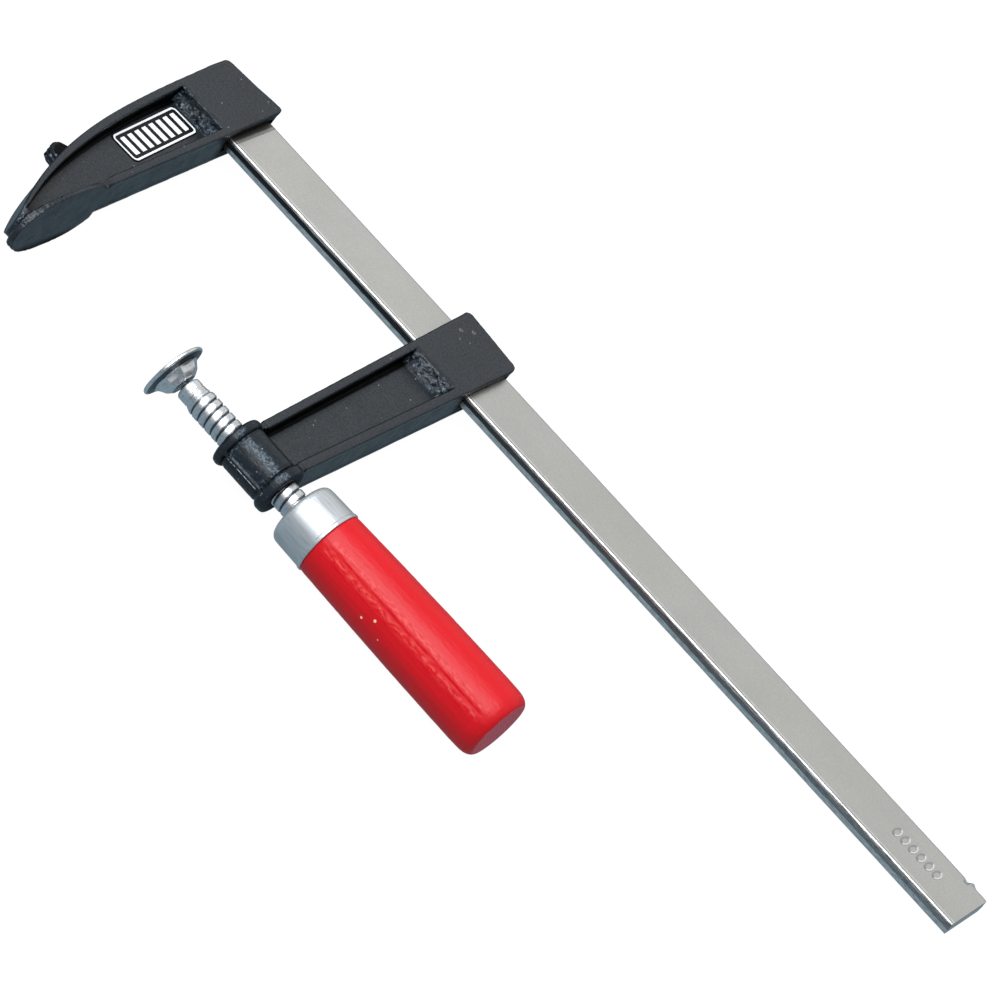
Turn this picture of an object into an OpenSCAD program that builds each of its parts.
// Bar clamp (F clamp): flat steel bar, fixed cast jaw, sliding cast arm,
// threaded spindle with a ball-jointed pressure pad, steel ferrule and a
// turned wooden handle.
//
// Frame: the origin lies on the fixed jaw's clamping face, on the spindle axis.
// +X runs along the spindle toward the pad and the free end of the bar,
// +Y runs from the spindle toward the bar, +Z out of the broad side.

/* [Show] */
// Which sub-part is drawn

/* [Pose] */
// Where the sliding arm stands along the bar, measured from its drawn place
arm_shift = 0; // [-50:5:200]
// Tilt of the pressure pad on its ball, in degrees
pad_tilt = 5; // [-12:1:12]

/* [Bar] */
// Width of the flat bar
bar_w = 25; // [22:1:28]
// Thickness of the flat bar
bar_t = 5; // [4:0.5:6]
// Free end of the bar, measured from the fixed jaw's face
bar_end = 347; // [320:1:600]
// Chamfer along the bar's long edges
bar_edge = 0.8; // [0.3:0.1:1]

/* [Reach] */
// Throat: spindle axis to the bar's inner narrow side
throat = 110; // [105:1:125]

/* [Fixed jaw] */
// Thickness of the fixed jaw casting over its flanges
jaw_t = 14; // [12:0.5:16]
// Thickness of the recessed web
web_t = 2.8; // [2:0.2:4]
// Width of the raised flanges
flange = 2.6; // [2:0.1:3.2]
// Width of the lens shaped clamping face
face_w = 25; // [20:1:26]

/* [Sliding arm] */
// Thickness of the arm casting over its flanges
arm_t = 12.5; // [11:0.5:14]
// Outside radius of the screw boss
boss_r = 8.4; // [8:0.1:9.5]
// Outside radius of the rims on the boss
boss_rim_r = 9.4; // [9:0.1:10.5]
// Clearance between the arm's window and the bar
window_gap = 0.35; // [0.2:0.05:0.6]

/* [Spindle] */
// Major radius of the thread
thread_r = 5; // [4.6:0.1:5.2]
// Thread pitch
pitch = 3; // [2:0.5:4]
// Depth of the thread
thread_depth = 0.55; // [0.4:0.05:0.9]
// Radius of the ball at the spindle's tip
ball_r = 2.6; // [2.3:0.1:2.7]

/* [Pad] */
// Radius of the pressure pad
pad_r = 11.35; // [10:0.05:13]

/* [Handle] */
// Radius of the wooden handle at the ferrule
grip_r0 = 11.9; // [11.6:0.1:12.2]
// Radius of the wooden handle near its free end
grip_r1 = 13; // [12.2:0.1:14]
// Free end of the handle
grip_end = 216.3; // [200:0.1:230]

/* [Hidden] */
$fn = 72;
eps = 0.01;

bar_y0 = throat;
bar_y1 = throat + bar_w;
bar_x0 = -20.5;                 // end of the bar inside the fixed jaw

// fixed jaw
head_top  = -29.2;              // back of the block
head_low  = -4.1;               // underside of the block
tip_y     = -12.0;              // end of the flange at the nose
tip_t     = 4.2;                // nose thickness at its point
back_y    = throat + 15;        // where the back starts to curve
back_k1   = 0.042;              // slope of the back at the block
back_d    = back_y - tip_y;
back_k3   = (-tip_t - head_top - back_k1*back_d)/pow(back_d, 3.3);
face_y1   = 33;                 // inner end of the clamping face
head_out  = bar_y1 + 4.4;       // outer side of the block at its underside
face_y0   = -14.2;              // blunt tip of the clamping face
face_mid  = 9;                  // station where the face is widest

// sliding arm
arm_bot  = 114;                 // underside
arm_top0 = 93.5;                // top at the boss
arm_top1 = 88.6;                // top at the bar
arm_out  = bar_y1 + 5.2;        // outer side at the top corner
step_y   = throat - 8;          // block starts here
boss_x0  = 92.2;
boss_x1  = 115.5;

// spindle, pad, handle
ball_x   = 65.9;
thread_x0 = 76.4;
thread_x1 = 121.2;
tang_r   = 4.3;
tang_x1  = 184;
fer_x0   = 122.5;
fer_x1   = 137;
fer_r    = 12.2;
fit      = 0.02;                // gap left in pressed joints
run      = 0.06;                // gap left in running joints

// height of the back profile of the fixed jaw at a station y
function back_x(y) = head_top + (y >= back_y ? 0 :
    back_k1*(back_y - y) + back_k3*pow(back_y - y, 3.3));
// underside of the fixed jaw at a station y
function low_x(y) = -1.5 + (head_low + 1.5)*(y - face_y1)/(head_out - face_y1);
// top of the arm at a station y
function top_x(y) = arm_top0 + (arm_top1 - arm_top0)*(y - 8)/(bar_y1 - 8);

// extrude a polygon drawn in Y (first) and Z (second) along X
module along_x(x0, x1) translate([x0, 0, 0]) rotate([90, 0, 90]) linear_extrude(x1 - x0) children();
// extrude a polygon drawn in X (first) and Z (second) along Y
module along_y(y0, y1) translate([0, y1, 0]) rotate([90, 0, 0]) linear_extrude(y1 - y0) children();
// cylinder along X
module rod(x0, x1, r) translate([x0, 0, 0]) rotate([0, 90, 0]) cylinder(h = x1 - x0, r = r);
// turned solid about the X axis; the polygon holds [radius, x] pairs
module turned(p) rotate([0, 90, 0]) rotate_extrude() polygon(p);
// slab symmetric about Z = 0 from an X-Y polygon
module slab(t) translate([0, 0, -t/2]) linear_extrude(t) children();

// ---------------------------------------------------------------- bar
module bar() color([0.72, 0.71, 0.69]) {
    difference() {
        union() {
            along_x(bar_x0, bar_end) polygon([
                [bar_y0 + bar_edge, -bar_t/2], [bar_y1 - bar_edge, -bar_t/2],
                [bar_y1, -bar_t/2 + bar_edge], [bar_y1, bar_t/2 - bar_edge],
                [bar_y1 - bar_edge, bar_t/2], [bar_y0 + bar_edge, bar_t/2],
                [bar_y0, bar_t/2 - bar_edge], [bar_y0, -bar_t/2 + bar_edge]]);
            // burr raised by the stop punch at the outer edge
            translate([bar_end - 6.8, bar_y1 - 0.9, bar_t/2 - 0.9]) sphere(r = 1.5, $fn = 32);
        }
        // punch dimple beside the burr
        translate([bar_end - 9.2, bar_y1 - 1.8, bar_t/2 + 0.35]) sphere(r = 1.0, $fn = 32);
    }
}

// ---------------------------------------------------------- fixed jaw
module jaw_outline() polygon(concat(
    [for (y = [tip_y : 4 : back_y]) [back_x(y), y]],
    [[head_top, back_y], [head_top, head_out - 5.9], [head_top + 0.7, head_out - 4.6],
     [head_top + 2.2, head_out - 4.1], [-16, head_out - 2.8], [-8, head_out - 1.3],
     [head_low - 1.4, head_out - 1.0], [head_low - 0.4, head_out - 1.4], [head_low, head_out - 2.4],
     [low_x(face_y1 + 0.5), face_y1 + 0.5], [0, face_y1 - 1.2], [0, tip_y + 1.4], [-0.7, tip_y + 0.3]]));
module jaw_recess() polygon(concat(
    [for (y = [-8 : 4 : throat - 6]) [back_x(y) + flange*min(1, 0.5 + (y + 8)*0.0105), y]],
    [[back_x(throat - 6) + flange, throat - 5.9], [low_x(throat - 6) - flange, throat - 5.9],
     [low_x(40) - flange, 40], [-3.95, 32], [-3.9, 12], [-3.7, 3], [-3.3, -3], [-2.9, -7.6]]));
// half width of the leaf shaped clamping face at a station y
function face_half(y) = face_w/2*pow(max(0, 1 - pow(abs(y - face_mid)/(y < face_mid ? face_mid - face_y0 : 27.5), 2.6)), 0.62);
module face_outline() polygon(concat(
    [for (a = [0 : 6 : 90]) let (y = face_mid - (face_mid - face_y0)*cos(a)) [y, face_half(y)]],
    [for (y = [face_mid + 3 : 3 : face_y1 + 0.1]) [y, face_half(y)]],
    [for (y = [face_y1 : -3 : face_mid + 1]) [y, -face_half(y)]],
    [for (a = [90 : -6 : 6]) let (y = face_mid - (face_mid - face_y0)*cos(a)) [y, -face_half(y)]]));
module fixed_jaw() color([0.13, 0.13, 0.14]) difference() {
    union() {
        difference() {
            intersection() {
                slab(jaw_t) jaw_outline();
                // nose rounded across its thickness
                along_x(head_top - 1, 1) {
                    translate([tip_y + jaw_t/2 + 0.2, -jaw_t]) square([200, 2*jaw_t]);
                    translate([tip_y + jaw_t/2 + 0.2, 0]) circle(r = jaw_t/2 + 0.2);
                }
            }
            for (m = [0, 1]) mirror([0, 0, m])
                translate([0, 0, web_t/2]) linear_extrude(jaw_t) jaw_recess();
        }
        // sloped step between the web and the block, on both sides
        intersection() {
            slab(jaw_t) jaw_outline();
            along_x(head_top + 1, head_low - 1) polygon([
                [throat - 9.0, 0], [throat - 8.4, web_t/2 + 0.3], [throat - 4.8, jaw_t/2 - 0.3],
                [throat - 3.6, jaw_t/2], [throat - 3.6, -jaw_t/2], [throat - 4.8, -jaw_t/2 + 0.3],
                [throat - 8.4, -web_t/2 - 0.3]]);
        }
        // leaf shaped clamping face standing out like a foot below the web
        intersection() {
            slab(face_w + 1) polygon([
                [-4.0, face_y1 + 0.4], [0, face_y1 - 0.8], [0, face_y0 + 0.9], [-0.5, face_y0 + 0.1],
                [-1.6, face_y0 + 0.1], [-2.3, face_y0 + 0.8], [-2.6, tip_y + 1], [-4.0, tip_y + 4]]);
            along_x(-6, 0) face_outline();
            along_y(face_y0 - 1, face_y1 + 1) polygon([
                [-3.9, web_t/2 - 0.2], [-1.5, face_w/2 + 0.01], [0.5, face_w/2 + 0.01],
                [0.5, -face_w/2 - 0.01], [-1.5, -face_w/2 - 0.01], [-3.9, -web_t/2 + 0.2]]);
        }
        // small ribbed casting lug on the back
        slab(5.6) polygon([[-19.6, 37.2], [-22.2, 37.0], [-24.4, 35.4], [-24.9, 33.4],
            [-24.3, 31.2], [-22.4, 29.9], [-17.9, 29.4]]);
        for (z = [-1.9, 0, 1.9]) translate([0, 0, z])
            slab(0.8) polygon([[-19.6, 37.6], [-22.4, 37.4], [-24.9, 35.7], [-25.5, 33.4],
                [-24.8, 30.8], [-22.6, 29.4], [-17.8, 28.9]]);
    }
    // socket for the bar: close pocket, wider mouth
    translate([bar_x0 - 0.02, bar_y0 - 0.03, -bar_t/2 - 0.03]) cube([40, bar_w + 0.06, bar_t + 0.06]);
    translate([head_low - 5.2, bar_y0 - 0.9, -bar_t/2 - 0.8]) cube([20, bar_w + 1.8, bar_t + 1.7]);
}

// ---------------------------------------------------------- jaw label
module jaw_label() color([0.16, 0.16, 0.17])
    translate([-15.6, 80.4, web_t/2 + 0.005]) rotate([0, 0, 3.3]) linear_extrude(0.3)
        union() {
            square([9.6, 39.2], center = true);
            square([12.6, 36.2], center = true);
            for (sx = [-1, 1], sy = [-1, 1]) translate([sx*4.8, sy*18.1]) circle(r = 1.5, $fn = 32);
        }

// -------------------------------------------------------- sliding arm
module arm_outline() polygon([
    [arm_bot, 4], [arm_bot, arm_out - 4.2], [arm_bot - 0.5, arm_out - 2.9],
    [arm_bot - 1.7, arm_out - 2.2], [arm_top1 + 1.6, arm_out], [arm_top1 + 0.5, arm_out - 0.5],
    [arm_top1 - 0.15, arm_out - 1.6], [arm_top0, 4]]);
module sliding_arm() color([0.13, 0.13, 0.14]) translate([arm_shift, 0, 0]) difference() {
    union() {
        difference() {
            slab(arm_t) arm_outline();
            for (m = [0, 1]) mirror([0, 0, m])
                translate([0, 0, web_t/2]) linear_extrude(arm_t) polygon([
                    [top_x(6) + flange, 6], [top_x(step_y + 1) + flange, step_y + 1],
                    [arm_bot - flange - 0.6, step_y + 1], [arm_bot - flange - 0.6, 6]]);
        }
        // sloped step between the web and the block
        intersection() {
            slab(arm_t) arm_outline();
            along_x(arm_top1, arm_bot) polygon([
                [step_y - 5.5, 0], [step_y - 4.5, web_t/2 + 0.3], [step_y, arm_t/2 - 0.3],
                [step_y + 2, arm_t/2], [step_y + 2, -arm_t/2], [step_y, -arm_t/2 + 0.3],
                [step_y - 4.5, -web_t/2 - 0.3]]);
        }
        // screw boss with a rounded rim at either end
        turned([[0, boss_x0], [boss_rim_r - 0.9, boss_x0], [boss_rim_r - 0.25, boss_x0 + 0.35],
                [boss_rim_r, boss_x0 + 1.1], [boss_rim_r, boss_x0 + 2.2],
                [boss_rim_r - 0.3, boss_x0 + 2.9], [boss_r, boss_x0 + 3.8],
                [boss_r, boss_x1 - 4.4], [boss_rim_r - 0.3, boss_x1 - 3.5],
                [boss_rim_r, boss_x1 - 2.8], [boss_rim_r, boss_x1 - 1.1],
                [boss_rim_r - 0.25, boss_x1 - 0.35], [boss_rim_r - 0.9, boss_x1], [0, boss_x1]]);
        // parting line rib on the outer side of the boss
        translate([boss_x0 + 2.5, -boss_r - 0.75, -0.7]) cube([boss_x1 - boss_x0 - 5, 3, 1.4]);
    }
    // threaded bore, drawn at the thread's major diameter
    rod(boss_x0 - 1, boss_x1 + 1, thread_r + run);
    // window for the bar
    translate([arm_top1 - 5, bar_y0 - window_gap, -bar_t/2 - window_gap])
        cube([40, bar_w + 2*window_gap, bar_t + 2*window_gap]);
}

// ------------------------------------------------------ screw spindle
module screw_spindle() color([0.78, 0.79, 0.80]) translate([arm_shift, 0, 0]) {
    n = floor((thread_x1 - thread_x0 - 1)/pitch);
    f = pitch/6;
    turned(concat(
        // neck and plain end
        [[0, ball_x], [1.6, ball_x], [1.6, ball_x + 3.8], [3.7, ball_x + 3.9], [4.2, ball_x + 4.4],
         [4.2, thread_x0 - 0.8], [thread_r - 0.15, thread_x0 - 0.1]],
        // ridges and grooves of the coarse rounded thread
        [for (i = [0 : n - 1], k = [0 : 5])
            [thread_r - thread_depth*[0, 0, 0.5, 1, 1, 0.5][k], thread_x0 + i*pitch + k*f]],
        [[thread_r, thread_x0 + n*pitch], [thread_r, fer_x0 + 2.4],
         [tang_r, fer_x0 + 2.4], [tang_r, tang_x1 - 1], [tang_r - 1, tang_x1], [0, tang_x1]]));
    translate([ball_x, 0, 0]) sphere(r = ball_r);
}

// ------------------------------------------------- pad retaining ring
module pad_retaining_ring() color([0.55, 0.56, 0.58]) translate([arm_shift + ball_x + 1.95, 0, 0])
    rotate([0, 90, 0]) rotate_extrude() translate([2.27, 0]) circle(r = 0.32, $fn = 20);

// --------------------------------------------------------- swivel pad
module swivel_pad() color([0.76, 0.78, 0.80])
    translate([arm_shift + ball_x, 0, 0]) rotate([0, pad_tilt, 0]) difference() {
        union() {
            // thin flared dish
            turned([[0, -3.7], [pad_r - 0.4, -3.7], [pad_r, -3.35], [pad_r, -2.9],
                    [pad_r - 0.35, -2.6], [9.9, -2.2], [8.8, -1.7], [8.1, -1.1], [7.6, -0.5], [0, -0.5]]);
            // collar crimped over the ball in eight flats
            intersection() {
                turned([[0, -0.9], [7.55, -0.9], [7.1, 0.1], [6.6, 1.0], [6.1, 1.5], [5.3, 2.1], [4.4, 2.6], [0, 2.6]]);
                translate([-1.2, 0, 0]) rotate([0, 90, 0]) rotate([0, 0, 22.5]) cylinder(h = 6, r = 7.0, $fn = 8);
            }
        }
        // shallow dimple in the middle of the flat clamping face
        turned([[0, -5], [3.4, -5], [3.4, -3.7], [2.8, -3.3], [0, -3.25]]);
        // socket for the ball, with room for the ring behind it
        turned(concat(
            [for (a = [0 : 8 : 112]) [(ball_r + run)*sin(a), -(ball_r + run)*cos(a)]],
            [[3.15, 1.0], [3.15, 2.0], [2.45, 2.3], [2.45, 2.5], [2.8, 3.0], [0, 3.0]]));
    }

// ------------------------------------------------------------ ferrule
module ferrule() color([0.74, 0.76, 0.78]) translate([arm_shift, 0, 0]) difference() {
    turned([[0, fer_x0], [8.6, fer_x0], [10.2, fer_x0 + 0.35], [11.2, fer_x0 + 1.1], [11.7, fer_x0 + 2.2],
            [fer_r - 0.15, fer_x1 - 1.4], [fer_r + 0.15, fer_x1 - 0.9], [fer_r + 0.15, fer_x1 - 0.3],
            [fer_r - 0.1, fer_x1], [0, fer_x1]]);
    rod(fer_x0 - 1, fer_x1 + 1, thread_r + fit);
    turned([[0, fer_x0 + 2.4], [10.2, fer_x0 + 2.4], [11.1, fer_x0 + 3.4], [11.1, fer_x1 + 1], [0, fer_x1 + 1]]);
}

// -------------------------------------------------------- handle grip
module handle_grip() color([0.78, 0.08, 0.10]) translate([arm_shift, 0, 0]) difference() {
    turned([[0, fer_x0 + 2.45], [10.0, fer_x0 + 2.45], [11.1 - fit, fer_x0 + 3.6], [11.1 - fit, fer_x1 + 0.05],
            [grip_r0 - 0.3, fer_x1 + 0.05], [grip_r0, fer_x1 + 0.5],
            [grip_r0 + 0.45*(grip_r1 - grip_r0), fer_x1 + 26],
            [grip_r1 - 0.08, fer_x1 + 52], [grip_r1, grip_end - 10], [grip_r1 - 0.15, grip_end - 3.4],
            [grip_r1 - 0.75, grip_end - 1.4], [grip_r1 - 1.6, grip_end - 0.45], [grip_r1 - 2.5, grip_end],
            [0, grip_end]]);
    rod(fer_x0, tang_x1 + 1, tang_r + fit);
}

bar();
fixed_jaw();
jaw_label();
sliding_arm();
screw_spindle();
pad_retaining_ring();
swivel_pad();
ferrule();
handle_grip();
